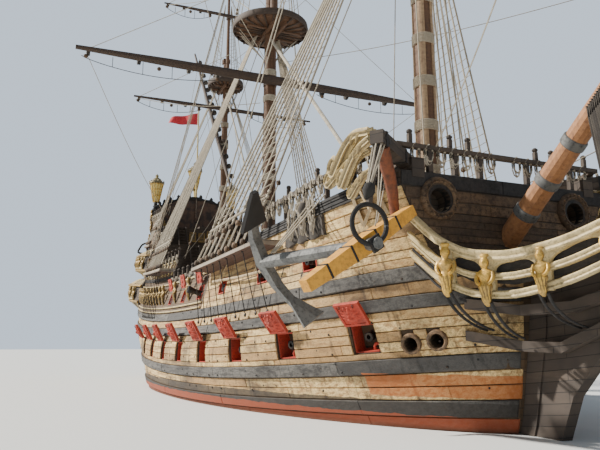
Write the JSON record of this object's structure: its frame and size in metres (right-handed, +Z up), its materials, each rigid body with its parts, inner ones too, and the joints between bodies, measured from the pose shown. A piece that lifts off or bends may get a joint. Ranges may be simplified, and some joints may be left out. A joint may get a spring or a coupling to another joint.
{
  "type": "three-masted sailing galleon, half-size scale model",
  "caption": "Wooden sailing galleon afloat with bare yards, high carved stern, open gun-port lids, beakhead, and anchors at the bow; yards, rudder, lids and capstan turn.",
  "frame": {"origin": "on the waterline and the centreline, amidships, 18 m aft of the bowsprit's end at this half size", "axes": "+X towards the bow, +Y to port, +Z up; the waterline is Z = 0"},
  "size_m": [32.7151, 14.4, 26.57],
  "materials": {
    "bunting": "red bunting",
    "dark": "tarred dark oak",
    "gold": "weathered gilding and ochre paint on carved wood",
    "iron": "grey paint on forged iron",
    "oak": "weathered, tarred oak planking",
    "red": "red paint",
    "rope": "hemp rope",
    "spar": "oiled pine",
    "stock": "ochre paint"
  },
  "bodies": {
    "ship": {"hull": "oak", "keel_and_stem": "dark", "forecastle": "oak", "forecastle_rail": "dark", "waist_bulwark_starboard": "oak", "waist_bulwark_port": "oak", "quarterdeck_house": "oak", "poop_house": "oak", "roundhouse": "oak", "lower_stern_gallery": "gold", "upper_stern_gallery": "gold", "tafferel_and_lanterns": "gold", "flag": "bunting", "beak": "dark", "head_platform": "dark", "head_rails_starboard": "gold", "head_rails_port": "gold", "figurehead": "gold", "bowsprit": "spar", "foremast": "spar", "fore_topmast": "spar", "mainmast": "spar", "main_topmast": "spar", "mizzenmast": "spar", "mizzen_topmast": "spar", "forestay": "rope", "mainstay": "rope", "mizzen_stay": "rope", "anchor_starboard": "iron", "anchor_port": "iron", "anchor_stock_starboard": "stock", "anchor_stock_port": "stock", "cathead_starboard": "stock", "cathead_port": "stock"},
    "rudder_body": {"rudder": "dark"},
    "fore_yard_body": {"fore_yard": "spar"},
    "fore_topsail_yard_body": {"fore_topsail_yard": "spar"},
    "main_yard_body": {"main_yard": "spar"},
    "main_topsail_yard_body": {"main_topsail_yard": "spar"},
    "crossjack_yard_body": {"crossjack_yard": "spar"},
    "mizzen_topsail_yard_body": {"mizzen_topsail_yard": "spar"},
    "lateen_yard_body": {"lateen_yard": "spar"},
    "spritsail_yard_body": {"spritsail_yard": "spar"},
    "capstan_body": {"capstan": "spar"},
    "port_lid_starboard_1_body": {"port_lid_starboard_1": "red"},
    "port_lid_port_1_body": {"port_lid_port_1": "red"},
    "port_lid_starboard_2_body": {"port_lid_starboard_2": "red"},
    "port_lid_port_2_body": {"port_lid_port_2": "red"},
    "port_lid_starboard_3_body": {"port_lid_starboard_3": "red"},
    "port_lid_port_3_body": {"port_lid_port_3": "red"},
    "port_lid_starboard_4_body": {"port_lid_starboard_4": "red"},
    "port_lid_port_4_body": {"port_lid_port_4": "red"},
    "port_lid_starboard_5_body": {"port_lid_starboard_5": "red"},
    "port_lid_port_5_body": {"port_lid_port_5": "red"},
    "port_lid_starboard_6_body": {"port_lid_starboard_6": "red"},
    "port_lid_port_6_body": {"port_lid_port_6": "red"},
    "port_lid_starboard_7_body": {"port_lid_starboard_7": "red"},
    "port_lid_port_7_body": {"port_lid_port_7": "red"},
    "port_lid_starboard_8_body": {"port_lid_starboard_8": "red"},
    "port_lid_port_8_body": {"port_lid_port_8": "red"}
  },
  "joints": [
    {"name": "rudder_turn", "type": "hinge", "parent": "ship", "child": "rudder_body", "pos_m": [-11.6635, 0, 0], "axis": [-0.2511, 0, 0.968], "range_deg": [-35, 35]},
    {"name": "fore_yard_turn", "type": "hinge", "parent": "ship", "child": "fore_yard_body", "pos_m": [8.5, 0, 11.15], "axis": [0, 0, 1], "range_deg": [-30, 30]},
    {"name": "fore_topsail_yard_turn", "type": "hinge", "parent": "ship", "child": "fore_topsail_yard_body", "pos_m": [8.8583, 0, 17.75], "axis": [0, 0, 1], "range_deg": [-30, 30]},
    {"name": "main_yard_turn", "type": "hinge", "parent": "ship", "child": "main_yard_body", "pos_m": [-1.85, 0, 11.45], "axis": [0, 0, 1], "range_deg": [-30, 30]},
    {"name": "main_topsail_yard_turn", "type": "hinge", "parent": "ship", "child": "main_topsail_yard_body", "pos_m": [-1.465, 0, 18.4], "axis": [0, 0, 1], "range_deg": [-30, 30]},
    {"name": "crossjack_yard_turn", "type": "hinge", "parent": "ship", "child": "crossjack_yard_body", "pos_m": [-8.1, 0, 12.55], "axis": [0, 0, 1], "range_deg": [-30, 30]},
    {"name": "mizzen_topsail_yard_turn", "type": "hinge", "parent": "ship", "child": "mizzen_topsail_yard_body", "pos_m": [-7.8413, 0, 17.3], "axis": [0, 0, 1], "range_deg": [-30, 30]},
    {"name": "lateen_yard_turn", "type": "hinge", "parent": "ship", "child": "lateen_yard_body", "pos_m": [-8.1, 0, 11], "axis": [0, 0, 1], "range_deg": [-20, 20]},
    {"name": "spritsail_yard_turn", "type": "hinge", "parent": "ship", "child": "spritsail_yard_body", "pos_m": [15.21887, 0, 6.8604], "axis": [-0.6293, 0, 0.7771], "range_deg": [-30, 30]},
    {"name": "capstan_turn", "type": "hinge", "parent": "ship", "child": "capstan_body", "pos_m": [1, 0, 2.45], "axis": [0, 0, 1], "continuous": true},
    {"name": "port_lid_starboard_1_turn", "type": "hinge", "parent": "ship", "child": "port_lid_starboard_1_body", "pos_m": [9.48393, -2.33072, 1.87497], "axis": [0.8815, 0.4672, 0.0683], "range_deg": [0, 150]},
    {"name": "port_lid_port_1_turn", "type": "hinge", "parent": "ship", "child": "port_lid_port_1_body", "pos_m": [9.48393, 2.33072, 1.87497], "axis": [-0.8815, 0.4672, -0.0683], "range_deg": [0, 150]},
    {"name": "port_lid_starboard_2_turn", "type": "hinge", "parent": "ship", "child": "port_lid_starboard_2_body", "pos_m": [7.50982, -3.11514, 1.75346], "axis": [0.9493, 0.3096, 0.0543], "range_deg": [0, 150]},
    {"name": "port_lid_port_2_turn", "type": "hinge", "parent": "ship", "child": "port_lid_port_2_body", "pos_m": [7.50982, 3.11514, 1.75346], "axis": [-0.9493, 0.3096, -0.0543], "range_deg": [0, 150]},
    {"name": "port_lid_starboard_3_turn", "type": "hinge", "parent": "ship", "child": "port_lid_starboard_3_body", "pos_m": [5.60039, -3.59435, 1.67003], "axis": [0.9771, 0.2096, 0.0366], "range_deg": [0, 150]},
    {"name": "port_lid_port_3_turn", "type": "hinge", "parent": "ship", "child": "port_lid_port_3_body", "pos_m": [5.60039, 3.59435, 1.67003], "axis": [-0.9771, 0.2096, -0.0366], "range_deg": [0, 150]},
    {"name": "port_lid_starboard_4_turn", "type": "hinge", "parent": "ship", "child": "port_lid_starboard_4_body", "pos_m": [3.74886, -3.89312, 1.62162], "axis": [0.9909, 0.1335, 0.018], "range_deg": [0, 150]},
    {"name": "port_lid_port_4_turn", "type": "hinge", "parent": "ship", "child": "port_lid_port_4_body", "pos_m": [3.74886, 3.89312, 1.62162], "axis": [-0.9909, 0.1335, -0.018], "range_deg": [0, 150]},
    {"name": "port_lid_starboard_5_turn", "type": "hinge", "parent": "ship", "child": "port_lid_starboard_5_body", "pos_m": [1.90151, -4.06664, 1.60687], "axis": [0.9976, 0.0691, -0.0009], "range_deg": [0, 150]},
    {"name": "port_lid_port_5_turn", "type": "hinge", "parent": "ship", "child": "port_lid_port_5_body", "pos_m": [1.90151, 4.06664, 1.60687], "axis": [-0.9976, 0.0691, 0.0009], "range_deg": [0, 150]},
    {"name": "port_lid_starboard_6_turn", "type": "hinge", "parent": "ship", "child": "port_lid_starboard_6_body", "pos_m": [0.05527, -4.13628, 1.62379], "axis": [0.9998, 0.0135, -0.0172], "range_deg": [0, 150]},
    {"name": "port_lid_port_6_turn", "type": "hinge", "parent": "ship", "child": "port_lid_port_6_body", "pos_m": [0.05527, 4.13628, 1.62379], "axis": [-0.9998, 0.0135, 0.0172], "range_deg": [0, 150]},
    {"name": "port_lid_starboard_7_turn", "type": "hinge", "parent": "ship", "child": "port_lid_starboard_7_body", "pos_m": [-1.79028, -4.1345, 1.6704], "axis": [0.9993, -0.0141, -0.0334], "range_deg": [0, 150]},
    {"name": "port_lid_port_7_turn", "type": "hinge", "parent": "ship", "child": "port_lid_port_7_body", "pos_m": [-1.79028, 4.1345, 1.6704], "axis": [-0.9993, -0.0141, 0.0334], "range_deg": [0, 150]},
    {"name": "port_lid_starboard_8_turn", "type": "hinge", "parent": "ship", "child": "port_lid_starboard_8_body", "pos_m": [-3.63703, -4.09216, 1.74582], "axis": [0.9973, -0.0533, -0.0496], "range_deg": [0, 150]},
    {"name": "port_lid_port_8_turn", "type": "hinge", "parent": "ship", "child": "port_lid_port_8_body", "pos_m": [-3.63703, 4.09216, 1.74582], "axis": [-0.9973, -0.0533, 0.0496], "range_deg": [0, 150]}
  ]
}
